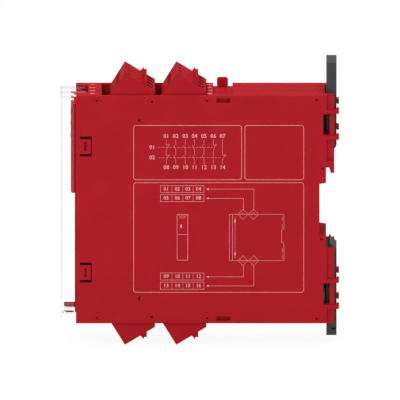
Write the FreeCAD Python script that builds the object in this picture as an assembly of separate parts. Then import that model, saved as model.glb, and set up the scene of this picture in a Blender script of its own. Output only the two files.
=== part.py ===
import FreeCAD
import Part

import math
import os

# Safety relay module for a 35 mm mounting rail, in millimetres.
# X runs across the narrow width, the rail seat is the plane y = 0 and the front looks along -Y.
# The origin is the middle of the rail seat, at the rail's mid height.

# Overall size
module_width = 22.5
housing_height = 100.0
housing_depth = 106.3
housing_offset = -0.9          # the housing's mid height, measured from the rail's mid height
wall = 1.6
bay_wall = 1.2
cover_rim = 2.8                # depth of the labelled side cover, which closes the housing
edge_round = 0.4
small_sides = 10               # flats round the small holes and shanks, which repeat many times
medium_sides = 16              # flats round the driver holes and screw heads
running_gap = 0.3              # clearance between pieces that move past each other
fit_gap = 0.1                  # clearance between pieces that stay put
join_overlap = 0.5             # how far a lug runs into the piece that carries it
overshoot = 1.0                # how far a cutting tool stands past the face it opens
same_place = 0.01              # two places closer than this are the same

# Mounting rail seat
rail_height = 35.0
rail_recess_depth = 2.8
recess_top = 10.3
recess_bottom = -12.3
recess_top_lean = 0.5
recess_bottom_lean = 0.4
hook_gap = 1.3                 # room for the rail's flange behind the seat
hook_lip_depth = 2.3
hook_lean = 0.7
back_depth = 3.5               # how far the rear guides stand behind the rail seat
hook_block_top = 20.6
latch_guide_top = -18.2

# Rear channels for the two sliding feet
slide_width = 13.7
slide_front = 0.1
slide_thick = 4.35
channel_front = -0.64
channel_pad_front = -0.05
channel_pad_root = 0.3
lug_gap = 0.15
lug_thick = 0.9
lug_width = 5.3
bridge_offsets = ((30.6, 32.2), (42.0, 43.6))
window_low = 32.5
window_high = 41.8
window_front = -1.15
window_back = 1.5
pocket_front = -1.8
strip_front = 0.3              # the rear strips of both walls, set back between the bridges
strip_recess = 0.8

# Sliding feet
foot_bottom = 23.9
foot_reach = 13.2              # above the housing
foot_hole = 4.3
foot_hole_inset = 5.8
foot_end_round = 3.0
latch_reach = 6.2              # below the housing
latch_tip = -16.2
latch_catch_gap = 0.06
latch_catch_set = 0.3          # the catch's face stands this far into the room for the rail's flange
latch_nose = ((0.0, 0.5), (0.6, 0.0), (1.3, 1.2))   # its corners: behind the face, below the tip
latch_slope_end = 3.0          # where the nose's slope meets the rear face, below the tip
tool_slot = 0.9
tool_slot_inset = 2.9
stop_width = 6.0
stop_height = 1.4
spring_thick = 0.35
spring_width = 1.2
spring_end_gap = 0.4           # beside the running gap, where the spring's ends stand in the pocket
spring_front_gap = 0.2

# Terminal plugs, in their own tilted frame: u runs down the sloping face, p along the way they pull out
pole_pitch = 5.08
pole_count = 4
plug_tilt = 31.4
plug_rise = 9.6                # the plug's upper edge above the housing
plug_front_inset = 20.8        # the first plug's upper edge behind the housing's front
plug_spacing = 21.85
plug_thick = 16.1
plug_slope = 15.0
plugs_in_a_row = 2
plug_shoulder = 12.0
nose_start = 2.6
nose_thick = 9.6
nose_length = 7.0
pin_place = 7.4
ridge_start = 7.1
ridge_height = 2.15
ridge_valley = 1.45
ridge_width = 3.85
ridge_gap = 0.9
ridge_root = 0.3
ridge_foot_rise = 0.25         # the foot's height, as a share of the ridge's
ridge_foot_place = 0.18        # the foot and the crests, as shares of the ridge's width
ridge_front_crest = 0.22
ridge_valley_place = 0.43
ridge_rear_crest = 0.65
test_hole = 1.8
test_hole_place = 2.1
test_hole_depth = 4.0
driver_hole = 3.6
driver_depth = 6.0
wire_entry = 2.6
wire_entry_place = 12.45
cage_start = 9.8
cage_thick = 5.1
cage_width = 3.6
cage_top = 3.3
cage_height = 7.0
cage_wall = 0.9
cage_front_wall = 1.25         # thicker, for the screw's thread
screw_head = 3.3
screw_head_length = 2.0
screw_shank = 2.5
screw_slot = 0.6
screw_tip = 0.6                # how far the screw stands into the cage
screw_gap = 0.9                # the head's stand from the cage
tap_depth = 2.5                # how far the thread is cut into the cage
contact_width = 1.9
contact_plate = 0.7
contact_end_walls = 1.2        # the plate ends this many cage walls before the cage does
socket_thick = 2.4
socket_root = 0.1              # how far the socket runs into its plate
socket_fit = 0.05
pin_clearance = 0.25           # round a pin, in the plug's nose

# Bays and pin headers that take the plugs
bay_front_inset = 10.9
bay_back_gap = 0.3
header_floor = 1.5
header_wall = 0.9
header_height = 8.4
nose_floor_gap = 0.4
riser_place = 17.2
pin_size = 0.9
pin_tip = 6.0                  # how far the pins stand above the header's floor
pin_leg_depth = 3.1
pin_leg_step = 1.4
pin_header_fit = 0.02
pin_passage_fit = 0.06

# Front panel with its raised indicator field
panel_top_inset = 4.1
panel_bottom_inset = 4.6
panel_proud = 0.5
panel_thick = 1.5
panel_edge = 1.6
field_proud = 2.2
field_height = 39.0
field_round = 0.8
label_recess = 0.3
snap_insets = (22.4, 22.3)      # the snap arms, from the housing's top and bottom
snap_arm_half = 3.0
snap_arm_thick = 1.1
snap_arm_length = 5.3
barb_half = 1.5
barb_proud = 0.8
barb_root = 0.2
tongue_front_inset = 1.7
tongue_length = 5.0
tongue_slot = 1.15
tongue_half = 3.25
tongue_end_gap = 0.4
barb_slot_inset = 3.5
barb_slot = 1.0
barb_slot_half = 1.9
light_diameter = 2.0
light_insets = (6.5, 11.5, 16.5)   # below the panel's top
light_side = -3.0
light_head = 0.2

# Clear front cover, hinged at the top of the housing
cover_reach = 6.6              # its front, ahead of the housing's
cover_wall = 1.0
cover_side_inset = 0.4
cover_back_gap = 0.9
cover_top_inset = 1.3
cover_bottom_inset = 4.4
cover_lip = 2.7
hinge_inset = 3.4
hinge_drop = 1.5
knuckle_radius = 1.2
hinge_pin = 1.6
hinge_fit = 0.07
hinge_pin_length = 1.2
hinge_pin_root = 1.0           # how far the pin runs into its knuckle
recess_width = 12.5
recess_depth = 5.1
arm_width = 3.6
arm_thick = 1.4
arm_drop = 0.3                 # the arm's underside below the hinge axis
catch_height = 1.5
catch_reach = 5.1
catch_half = 2.0               # half its width
catch_drop = 6.2               # its top above the housing's bottom
catch_bevel_rise = 0.6
catch_bevel_length = 1.2

# Coupling slots, step and hook for the neighbouring module
step_start = 58.3              # behind the housing's front
step_length = 8.2
step_drop = 1.55
hook_start = 1.6
coupling_hook_length = 4.7
coupling_hook_thick = 2.0
coupling_hook_rise = 2.5
coupling_hook_bevel = 0.7
slot_start = 1.4
slot_length = 5.9
slot_height = 1.9
slot_inset = 1.2
slit_width = 0.6               # the narrow slit in the step's floor, along the labelled wall
slit_depth = 0.8
blind_hole = 1.1
blind_hole_depth = 1.4
# Blind holes as (behind the front, inward from the top), and a rear pair as (y, down from the rail's top)
blind_hole_places = ((8.9, 2.3), (32.2, 2.8), (55.8, 2.3), (102.3, 2.0), (26.9, 10.95))
blind_hole_rear = ((-1.6, 0.5), (-1.9, 31.5))
groove_size = 0.35
groove_end_gap = 1.0
groove_sides = (2.25, -4.65)

# Boards and what they carry
board_thick = 1.2
board_gap = 0.15
board_edge_gap = 0.6
sharp_corners = 2              # the corner style of the board's inset outline
board_half_height = 38.5
board_back_inset = 6.0
status_board_inset = 6.9
status_board_thick = 1.2
led_size = 1.8
led_height = 1.1
relay_length = 34.0
relay_height = 20.0
relay_rise = 12.6
relay_base = 1.2
relay_base_edge = 0.4
relay_chamfer = 1.0
relay_back_inset = 17.0
relay_spacing = 25.0
transformer_length = 16.0
transformer_height = 18.0
transformer_rise = 13.0
transformer_inset = 22.0
core_stand = 1.0
coil_margin = 2.5
coil_end_inset = 0.8
capacitor_diameter = 10.0
capacitor_rise = 14.0
capacitor_inset = 30.0
capacitor_drop = 21.0

# Places worked out from the sizes above
half_width = module_width / 2
front = -housing_depth
middle = housing_offset
top = middle + housing_height / 2
bottom = middle - housing_height / 2
split = half_width - cover_rim
inside = half_width - wall
plug_width = pole_count * pole_pitch
half_plug = plug_width / 2
half_bay = half_plug + running_gap
half_slide = slide_width / 2
half_channel = half_slide + running_gap
slide_back = slide_front + slide_thick
rail_top = rail_height / 2
hook_lip = rail_top - hook_lip_depth
header_seat = plug_shoulder + nose_length + nose_floor_gap + header_floor
board_face = -inside + board_gap + board_thick
hinge_y = front + hinge_inset
hinge_z = top - hinge_drop
panel_top = top - panel_top_inset
panel_bottom = bottom + panel_bottom_inset
snap_heights = (top - snap_insets[0], bottom + snap_insets[1])
light_heights = [panel_top - inset for inset in light_insets]
far = 200.0                    # a length past every face, for cutting tools


def point(y, z, x=0.0):
    return FreeCAD.Vector(x, y, z)


def block(x0, x1, y0, y1, z0, z1):
    return Part.makeBox(x1 - x0, y1 - y0, z1 - z0, FreeCAD.Vector(x0, y0, z0))


def prism(outline, x0, x1):
    """A side profile given as (y, z) corners, carried across the width."""
    corners = [point(y, z, x0) for y, z in outline]
    face = Part.Face(Part.makePolygon(corners + corners[:1]))
    return face.extrude(FreeCAD.Vector(x1 - x0, 0, 0))


def rod(diameter, start, direction, length):
    return Part.makeCylinder(diameter / 2, length, start, direction)


def facet_rod(diameter, sides, start, direction, length):
    """A small round form drawn with flats, which keep the facets few where it repeats."""
    turns = [2 * math.pi * i / sides for i in range(sides)]
    corners = [FreeCAD.Vector(math.cos(turn), math.sin(turn), 0) * (diameter / 2) for turn in turns]
    face = Part.Face(Part.makePolygon(corners + corners[:1]))
    shape = face.extrude(FreeCAD.Vector(0, 0, length))
    shape.Placement = FreeCAD.Placement(start, FreeCAD.Rotation(FreeCAD.Vector(0, 0, 1), direction))
    return shape


def poles():
    """The places of the poles across the width."""
    first = -plug_width / 2 + pole_pitch / 2
    return [first + pole_pitch * i for i in range(pole_count)]


def join(shapes):
    return shapes[0].fuse(shapes[1:]).removeSplitter()


def flip(shape):
    """The same shape on the other side of the housing's mid height."""
    return shape.mirror(FreeCAD.Vector(0, 0, middle), FreeCAD.Vector(0, 0, 1))


def both_ends(shape):
    return [shape, flip(shape)]


def both_sides(shape):
    return [shape, shape.mirror(FreeCAD.Vector(0, 0, 0), FreeCAD.Vector(1, 0, 0))]


def plug_edge(index):
    """The upper edge of a top plug: the origin of its tilted frame."""
    return front + plug_front_inset + index * plug_spacing, top + plug_rise


def tilted(u, p, index):
    """Side-view place of a point that is given in a plug's tilted frame."""
    edge_y, edge_z = plug_edge(index)
    lean = math.radians(plug_tilt)
    y = edge_y + u * math.cos(lean) + p * math.sin(lean)
    z = edge_z - u * math.sin(lean) + p * math.cos(lean)
    return y, z


def seat_plug_piece(shape, index, at_bottom):
    """Turns a piece drawn in the tilted frame, with u as y and p as z, into its place."""
    edge_y, edge_z = plug_edge(index)
    placed = shape.copy()
    placed.rotate(FreeCAD.Vector(0, 0, 0), FreeCAD.Vector(1, 0, 0), -plug_tilt)
    placed.translate(FreeCAD.Vector(0, edge_y, edge_z))
    return flip(placed) if at_bottom else placed


def side_outline():
    """The housing's side profile with its rear guides, rail hook and rail recess."""
    return [
        (front, bottom),
        (front, top),
        (back_depth, top),
        (back_depth, hook_lip),
        (hook_gap + hook_lean, hook_lip),
        (hook_gap, rail_top),
        (0.0, rail_top),
        (0.0, recess_top + recess_top_lean),
        (-rail_recess_depth, recess_top),
        (-rail_recess_depth, recess_bottom),
        (0.0, recess_bottom - recess_bottom_lean),
        (0.0, latch_guide_top),
        (back_depth, latch_guide_top),
        (back_depth, bottom),
    ]


def bay_outline():
    """The hollow that takes the two top plugs: a stepped floor, square to the way they pull out."""
    bay_front = front + bay_front_inset
    lean = math.radians(plug_tilt)
    start_u = (bay_front - tilted(0, -header_seat, 0)[0]) / math.cos(lean)
    next_u = plug_spacing * math.cos(lean)
    back_u = plug_thick + bay_back_gap
    back_floor = tilted(back_u, -header_seat, 1)
    rise = (top - back_floor[1]) / math.cos(lean)
    back_top = tilted(back_u, -header_seat + rise, 1)
    return [
        (bay_front, top + overshoot),
        tilted(start_u, -header_seat, 0),
        tilted(riser_place, -header_seat, 0),
        tilted(riser_place - next_u, -header_seat, 1),
        back_floor,
        back_top,
        (back_top[0], top + overshoot),
    ]


def upper_cavity_edge():
    """The upper edge of the inner hollow, from front to back, one wall away from the bay."""
    bay_front = front + bay_front_inset
    lean = math.radians(plug_tilt)
    next_u = plug_spacing * math.cos(lean)
    deep = header_seat + bay_wall
    back_u = plug_thick + bay_back_gap + bay_wall
    start_u = (bay_front - bay_wall - tilted(0, -deep, 0)[0]) / math.cos(lean)
    step_z = top - step_drop - wall
    back_floor = tilted(back_u, -deep, 1)
    rise = (step_z - back_floor[1]) / math.cos(lean)
    step_y = front + step_start + step_length + wall
    return [
        (front + recess_depth + bay_wall, panel_top - panel_edge),
        (front + recess_depth + bay_wall, top - wall),
        (bay_front - bay_wall, top - wall),
        tilted(start_u, -deep, 0),
        tilted(riser_place + bay_wall, -deep, 0),
        tilted(riser_place + bay_wall - next_u, -deep, 1),
        back_floor,
        tilted(back_u, -deep + rise, 1),
        (step_y, step_z),
        (step_y, top - wall),
    ]


def cavity_outline():
    """The inner hollow: open at the front, where the front panel closes it."""
    upper = upper_cavity_edge()
    lower = [(y, 2 * middle - z) for y, z in reversed(upper[1:])]
    lower.append((upper[0][0], panel_bottom + panel_edge))
    shallow = pocket_front - bay_wall
    deep = -rail_recess_depth - wall
    back = [
        (shallow, top - wall),
        (shallow, recess_top + wall),
        (deep, recess_top + wall),
        (deep, recess_bottom - wall),
        (shallow, recess_bottom - wall),
        (shallow, bottom + wall),
    ]
    opening = [(front - overshoot, panel_bottom + panel_edge), (front - overshoot, panel_top - panel_edge)]
    return upper + back + lower + opening


def channel_tools():
    """What is cut behind the housing for the two feet, and the bridges left to hold them in."""
    lug_front = slide_back + lug_gap
    lug_back = lug_front + lug_thick
    upper = block(-half_channel, half_channel, channel_front, far, hook_block_top, far)
    lower = block(-half_channel, half_channel, channel_front, far, -far, latch_guide_top)
    low_edge = middle + window_low
    high_edge = middle + window_high
    windows = both_ends(block(0, far, window_front, window_back, low_edge, high_edge))
    windows += both_ends(block(-half_channel, half_channel, pocket_front, 0, low_edge, high_edge))
    strip_face = half_width - strip_recess
    strips = both_sides(block(strip_face, far, strip_front, far, hook_block_top, far))
    strips += both_sides(block(strip_face, far, strip_front, far, -far, latch_guide_top))
    bridges = []
    for low, high in bridge_offsets:
        z0 = middle + low
        z1 = middle + high
        arm = block(half_channel, half_width, strip_front, lug_back, z0, z1)
        lug = block(half_width - lug_width, half_width, lug_front, lug_back, z0, z1)
        pad_start = channel_front - channel_pad_root
        pad = block(-half_channel, half_channel, pad_start, channel_pad_front, z0, z1)
        for side in both_sides(join([arm, lug])) + [pad]:
            bridges += both_ends(side)
    return [upper, lower] + strips, windows, bridges


def housing_body():
    """The whole outer form before it is split into housing and side cover."""
    solid = prism(side_outline(), -half_width, half_width)
    rounded = [edge for edge in solid.Edges if is_long_outer_edge(edge)]
    solid = solid.makeFillet(edge_round, rounded)
    channels, windows, bridges = channel_tools()
    solid = solid.cut(channels)
    solid = solid.fuse(bridges)
    solid = solid.cut(windows)
    bay = prism(bay_outline(), -half_bay, half_bay)
    hollow = prism(cavity_outline(), -inside, inside)
    solid = solid.cut(both_ends(bay) + [hollow])
    solid = solid.cut(panel_seat_tools() + hinge_recess_tools() + step_tools() + side_slot_tools())
    solid = solid.cut(tongue_tools() + blind_hole_tools() + top_groove_tools() + pin_passages())
    return solid.removeSplitter()


def is_long_outer_edge(edge):
    """The straight front, top and bottom edges of the two side faces."""
    box = edge.BoundBox
    flat = abs(abs(box.Center.x) - half_width) < same_place and box.XLength < same_place
    on_front = abs(box.Center.y - front) < same_place and box.ZLength > housing_height / 2
    on_end = box.YLength > housing_depth / 2
    return flat and (on_front or on_end)


def panel_seat_tools():
    """The rebate in which the front panel's plate seats."""
    seat = front + panel_thick - panel_proud
    return [block(-inside, inside, front - overshoot, seat, panel_bottom - fit_gap, panel_top + fit_gap)]


def hinge_recess_tools():
    """The notch for the clear cover's arms, and the holes for its pins."""
    half = recess_width / 2
    floor = hinge_z - knuckle_radius - running_gap
    notch = block(-half, half, front - overshoot, front + recess_depth, floor, top + overshoot)
    hole_half = half + hinge_pin_length + running_gap
    bore = hinge_pin + 2 * hinge_fit
    hole = rod(bore, point(hinge_y, hinge_z, -hole_half), FreeCAD.Vector(1, 0, 0), 2 * hole_half)
    return [notch, hole]


def step_tools():
    """The lowered step behind the plugs, open towards the far side."""
    y0 = front + step_start
    step = block(
        -half_width - overshoot, split,
        y0, y0 + step_length,
        top - step_drop, top + overshoot,
    )
    return both_ends(step)


def coupling_hooks():
    """The hooks that stand in the steps at the far side."""
    y0 = front + step_start + hook_start
    y1 = y0 + coupling_hook_length
    foot = top - step_drop
    crest = top + coupling_hook_rise
    bevel = coupling_hook_bevel
    outline = [
        (y0, foot - join_overlap),
        (y0, crest - bevel),
        (y0 + bevel, crest),
        (y1 - bevel, crest),
        (y1, crest - bevel),
        (y1, foot - join_overlap),
    ]
    return both_ends(prism(outline, -half_width, -half_width + coupling_hook_thick))


def side_slot_tools():
    """The slots in the labelled side that take a neighbour's hooks, and the slits beside them."""
    y0 = front + step_start + slot_start
    z1 = top - slot_inset
    slot = block(inside, far, y0, y0 + slot_length, z1 - slot_height, z1)
    slit = block(split - slit_width, split, y0, y0 + slot_length, top - step_drop - slit_depth, far)
    return both_ends(slot) + both_ends(slit)


def tongue_tools():
    """The slots round each spring tongue in the labelled wall, and the slots for the panel's barbs."""
    y0 = front + tongue_front_inset
    y1 = y0 + tongue_length
    y2 = front + barb_slot_inset
    cuts = []
    for z in snap_heights:
        cuts.append(block(inside, far, y0, y1, z + tongue_half, z + tongue_half + tongue_slot))
        cuts.append(block(inside, far, y0, y1, z - tongue_half - tongue_slot, z - tongue_half))
        cuts.append(block(inside, far, y1 - tongue_end_gap, y1, z - tongue_half, z + tongue_half))
        barb = block(inside, far, y2, y2 + barb_slot, z - barb_slot_half, z + barb_slot_half)
        cuts += both_sides(barb)
    return cuts


def blind_hole_tools():
    """Small blind holes along the edges of the labelled side."""
    places = [(front + behind, top - inward) for behind, inward in blind_hole_places]
    places += [(y, 2 * middle - z) for y, z in places]
    places += [(y, rail_top - drop) for y, drop in blind_hole_rear]
    start = half_width - blind_hole_depth
    length = blind_hole_depth + overshoot
    along = FreeCAD.Vector(1, 0, 0)
    return [facet_rod(blind_hole, small_sides, point(y, z, start), along, length) for y, z in places]


def top_groove_tools():
    """Shallow grooves along the top and bottom behind the step."""
    y0 = front + step_start + step_length + groove_end_gap
    y1 = channel_front - groove_end_gap
    cuts = []
    for x in groove_sides:
        cuts += both_ends(block(x, x + groove_size, y0, y1, top - groove_size, top + overshoot))
    return cuts


def pin_passages():
    """Square holes through the bay floor for the header pins."""
    half = pin_size / 2 + pin_passage_fit
    cuts = []
    for index in range(plugs_in_a_row):
        for x in poles():
            hole = block(
                x - half, x + half,
                pin_place - half, pin_place + half,
                -header_seat - 2 * bay_wall, -header_seat + overshoot,
            )
            cuts.append(seat_plug_piece(hole, index, False))
            cuts.append(seat_plug_piece(hole, index, True))
    return cuts


def side_halves():
    """The housing, and the labelled side cover that closes it."""
    whole = housing_body()
    housing = whole.common(block(-far, split, -far, far, -far, far))
    housing = housing.fuse(coupling_hooks()).removeSplitter()
    cover = whole.common(block(split, far, -far, far, -far, far))
    return housing, cover


def front_panel():
    """The snap-in front: a plate, the raised indicator field, snap arms and the cover's catch."""
    half = inside - fit_gap
    face = front - panel_proud
    seat = face + panel_thick
    field_face = front - field_proud
    field_bottom = panel_top - field_height
    plate = block(-half, half, face, seat, panel_bottom, panel_top)
    field = block(-half, half, field_face, seat, field_bottom, panel_top)
    rounded = [edge for edge in field.Edges if abs(edge.BoundBox.Center.y - field_face) < same_place]
    field = field.makeFillet(field_round, rounded)
    hollow = block(
        -half + panel_thick, half - panel_thick,
        field_face + panel_thick, seat,
        field_bottom + panel_thick, panel_top - panel_thick,
    )
    label = block(
        -half + panel_thick, half - panel_thick,
        face - overshoot, face + label_recess,
        bottom + catch_drop + panel_edge, field_bottom - panel_edge,
    )
    arm_side = half - snap_arm_thick
    arms = []
    for z in snap_heights:
        arm_end = seat + snap_arm_length
        arm_start = seat - join_overlap
        arm = block(arm_side, half, arm_start, arm_end, z - snap_arm_half, z + snap_arm_half)
        y0 = front + barb_slot_inset + fit_gap
        y1 = y0 + barb_slot - 2 * fit_gap
        barb = block(half - barb_root, half + barb_proud, y0, y1, z - barb_half, z + barb_half)
        arms += both_sides(join([arm, barb]))
    panel = join([plate, field] + arms + [cover_catch()])
    light_hole = light_diameter + 2 * fit_gap
    lights = [
        rod(light_hole, point(field_face - overshoot, z, light_side), FreeCAD.Vector(0, 1, 0), far)
        for z in light_heights
    ]
    return panel.cut([hollow, label] + lights).removeSplitter()


def cover_catch():
    """The hooked lug at the foot of the front panel, behind the clear cover."""
    root = front - panel_proud + join_overlap
    tip = front - catch_reach
    top_z = bottom + catch_drop
    low = top_z - catch_height
    outline = [
        (root, top_z),
        (tip, top_z),
        (tip, low + catch_bevel_rise),
        (tip + catch_bevel_length, low),
        (root, low),
    ]
    return prism(outline, -catch_half, catch_half)


def light_guides():
    """Clear rods from the light sources to the indicator field."""
    start = front - field_proud - light_head
    length = front + status_board_inset - led_height - start
    return join_apart([
        rod(light_diameter, point(start, z, light_side), FreeCAD.Vector(0, 1, 0), length)
        for z in light_heights
    ])


def join_apart(solids):
    """Several separate solids kept in one node."""
    return Part.makeCompound(solids)


def front_cover():
    """The clear cover: a shallow tray with two hinge arms and a finger lip."""
    half = half_width - cover_side_inset
    face = front - cover_reach
    back = front - cover_back_gap
    high = top - cover_top_inset
    low = bottom + cover_bottom_inset
    tray = block(-half, half, face, back, low, high)
    inner = block(
        -half + cover_wall, half - cover_wall,
        face + cover_wall, back + overshoot,
        low + cover_wall, high - cover_wall,
    )
    lip = block(-half, half, face, face + cover_wall, low - cover_lip, low + join_overlap)
    tray = tray.fuse(lip)
    front_edges = [edge for edge in tray.Edges if is_cover_corner(edge, half, face)]
    tray = tray.makeFillet(edge_round, front_edges)
    notch_half = catch_half + running_gap
    notch_front = front - catch_reach - running_gap
    notch = block(
        -notch_half, notch_half,
        notch_front, back + overshoot,
        low - overshoot, low + cover_wall + overshoot,
    )
    tray = tray.cut([inner, notch])
    outer = recess_width / 2 - running_gap
    arm_low = hinge_z - arm_drop
    arm_high = arm_low + arm_thick
    arms = both_sides(block(outer - arm_width, outer, face + cover_wall / 2, hinge_y, arm_low, arm_high))
    along = FreeCAD.Vector(1, 0, 0)
    knuckle = rod(2 * knuckle_radius, point(hinge_y, hinge_z, outer - arm_width), along, arm_width)
    pin_start = point(hinge_y, hinge_z, outer - hinge_pin_root)
    pin = rod(hinge_pin, pin_start, along, hinge_pin_root + running_gap + hinge_pin_length)
    arms += both_sides(join([knuckle, pin]))
    return join([tray] + arms)


def is_cover_corner(edge, half, face):
    """The long upright edges where the cover's front meets its sides."""
    box = edge.BoundBox
    upright = box.ZLength > housing_height / 2
    at_front = abs(box.Center.y - face) < same_place
    return upright and at_front and abs(abs(box.Center.x) - half) < same_place


def mounting_foot():
    """The upper sliding foot with its screw hole and stop."""
    high = top + foot_reach
    foot = block(-half_slide, half_slide, slide_front, slide_back, foot_bottom, high)
    ends = [
        edge for edge in foot.Edges
        if edge.BoundBox.XLength > slide_width / 2
        and abs(edge.BoundBox.Center.y - slide_back) < same_place
        and abs(edge.BoundBox.Center.z - foot_bottom) < same_place
    ]
    foot = foot.makeFillet(foot_end_round, ends)
    hole_start = point(slide_front - overshoot, high - foot_hole_inset)
    hole = rod(foot_hole, hole_start, FreeCAD.Vector(0, 1, 0), far)
    stop_top = middle + window_high - running_gap
    stop = block(
        -stop_width / 2, stop_width / 2,
        pocket_front + running_gap, slide_front + join_overlap,
        stop_top - stop_height, stop_top,
    )
    return foot.fuse(stop).cut(hole).removeSplitter()


def latch_stop_top():
    """The top of the latch's stop, just under the upper end of its pocket."""
    return middle - window_low - running_gap


def rail_latch():
    """The lower sprung latch that closes on the rail's lower edge."""
    low = bottom - latch_reach
    catch = hook_gap - latch_catch_set + latch_catch_gap
    nose = [(catch + behind, latch_tip - below) for behind, below in latch_nose]
    outline = [(slide_front, low), (slide_front, latch_guide_top), (catch, latch_guide_top)]
    outline += nose + [(slide_back, latch_tip - latch_slope_end), (slide_back, low)]
    latch = prism(outline, -half_slide, half_slide)
    stop_top = latch_stop_top()
    stop = block(
        -stop_width / 2, stop_width / 2,
        pocket_front + running_gap, slide_front + join_overlap,
        stop_top - stop_height, stop_top,
    )
    slot_z = bottom - tool_slot_inset
    slot = block(-far, far, slide_front + slide_thick / 2, far, slot_z - tool_slot, slot_z)
    return latch.fuse(stop).cut(slot).removeSplitter()


def latch_spring():
    """A bowed flat spring in the latch's pocket: its crown meets the latch's stop."""
    crown = latch_stop_top() - stop_height
    foot = middle - window_high
    rise = crown - foot
    half_span = half_channel - running_gap - spring_end_gap
    radius = (half_span ** 2 + rise ** 2) / (2 * rise)
    centre_z = crown - radius
    y0 = pocket_front + spring_front_gap
    ring = rod(2 * radius, point(y0, centre_z), FreeCAD.Vector(0, 1, 0), spring_width)
    inner = 2 * (radius - spring_thick)
    bore_length = spring_width + 2 * overshoot
    bore = rod(inner, point(y0 - overshoot, centre_z), FreeCAD.Vector(0, 1, 0), bore_length)
    keep = block(-far, far, -far, far, foot, far)
    return ring.cut(bore).common(keep)


def plug_profile():
    """The plug's section in its tilted frame, without the marker ridge."""
    chamfer = (plug_thick - plug_slope) / math.tan(math.radians(plug_tilt))
    nose_end = nose_start + nose_thick
    return [
        (0.0, 0.0),
        (plug_slope, 0.0),
        (plug_thick, -chamfer),
        (plug_thick, -plug_shoulder),
        (nose_end, -plug_shoulder),
        (nose_end, -plug_shoulder - nose_length),
        (nose_start, -plug_shoulder - nose_length),
        (nose_start, -plug_shoulder),
        (0.0, -plug_shoulder),
    ]


def plug_body():
    """One terminal plug's moulded body, in the tilted frame."""
    body = prism(plug_profile(), -half_plug, half_plug)
    nose_trim = header_wall + running_gap
    trim = block(half_plug - nose_trim, far, -overshoot, far, -far, -plug_shoulder)
    body = body.cut(both_sides(trim))
    ridge = [
        (ridge_start, -ridge_root),
        (ridge_start + ridge_foot_place * ridge_width, ridge_foot_rise * ridge_height),
        (ridge_start + ridge_front_crest * ridge_width, ridge_height),
        (ridge_start + ridge_valley_place * ridge_width, ridge_valley),
        (ridge_start + ridge_rear_crest * ridge_width, ridge_height),
        (ridge_start + ridge_width, -ridge_root),
    ]
    half_ridge = (pole_pitch - ridge_gap) / 2
    body = body.fuse([prism(ridge, x - half_ridge, x + half_ridge) for x in poles()])
    cuts = []
    for x in poles():
        cuts += pole_cuts(x)
    return body.cut(cuts).removeSplitter()


def pole_cuts(x):
    """The openings of one pole: test hole, wire entry, clamp chamber, driver hole and socket."""
    half_entry = wire_entry / 2
    half_cage = cage_width / 2 + fit_gap
    half_contact = contact_width / 2 + fit_gap
    half_pin = pin_size / 2 + pin_clearance
    cage_end = cage_start + cage_thick
    cage_bottom = cage_top + cage_height
    down = FreeCAD.Vector(0, 0, -1)
    along = FreeCAD.Vector(0, 1, 0)
    contact_low = plug_shoulder + nose_length - nose_floor_gap
    test_top = FreeCAD.Vector(x, test_hole_place, overshoot)
    driver_front = FreeCAD.Vector(x, -overshoot, -driver_depth)
    return [
        facet_rod(test_hole, small_sides, test_top, down, overshoot + test_hole_depth),
        block(
            x - half_entry, x + half_entry,
            wire_entry_place - half_entry, wire_entry_place + half_entry,
            -cage_top, overshoot,
        ),
        facet_rod(driver_hole, medium_sides, driver_front, along, overshoot + cage_start),
        block(
            x - half_cage, x + half_cage,
            cage_start - fit_gap, cage_end + fit_gap,
            -cage_bottom - contact_plate - fit_gap, -cage_top + fit_gap,
        ),
        block(
            x - half_contact, x + half_contact,
            pin_place - socket_thick / 2 - fit_gap, cage_end - cage_wall,
            -cage_bottom - contact_plate - fit_gap, -cage_bottom + fit_gap,
        ),
        block(
            x - half_contact, x + half_contact,
            pin_place - socket_thick / 2 - fit_gap, pin_place + socket_thick / 2 + fit_gap,
            -contact_low, -cage_bottom,
        ),
        block(
            x - half_pin, x + half_pin,
            pin_place - half_pin, pin_place + half_pin,
            -far, -contact_low + overshoot,
        ),
    ]


def clamp_cage(x):
    """One clamp cage: a square tube that the wire enters, tapped for its screw."""
    half = cage_width / 2
    end = cage_start + cage_thick
    outer = block(x - half, x + half, cage_start, end, -cage_top - cage_height, -cage_top)
    inner = block(
        x - half + cage_wall, x + half - cage_wall,
        cage_start + cage_front_wall, end - cage_wall,
        -cage_top - cage_height - overshoot, -cage_top + overshoot,
    )
    tap_start = FreeCAD.Vector(x, cage_start - overshoot, -driver_depth)
    tap = facet_rod(screw_shank, small_sides, tap_start, FreeCAD.Vector(0, 1, 0), overshoot + tap_depth)
    return outer.cut([inner, tap])


def clamp_screw(x):
    """One slotted clamp screw, lying along u."""
    along = FreeCAD.Vector(0, 1, 0)
    head_start = cage_start - screw_gap - screw_head_length
    head_place = FreeCAD.Vector(x, head_start, -driver_depth)
    head = facet_rod(screw_head, medium_sides, head_place, along, screw_head_length)
    shank_start = head_start + screw_head_length
    shank_length = cage_start + cage_front_wall + screw_tip - shank_start
    shank_place = FreeCAD.Vector(x, shank_start, -driver_depth)
    shank = facet_rod(screw_shank, small_sides, shank_place, along, shank_length)
    slot = block(
        x - screw_slot / 2, x + screw_slot / 2,
        head_start - overshoot, head_start + screw_head_length / 2,
        -driver_depth - screw_head, -driver_depth + screw_head,
    )
    return head.fuse(shank).cut(slot)


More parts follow.
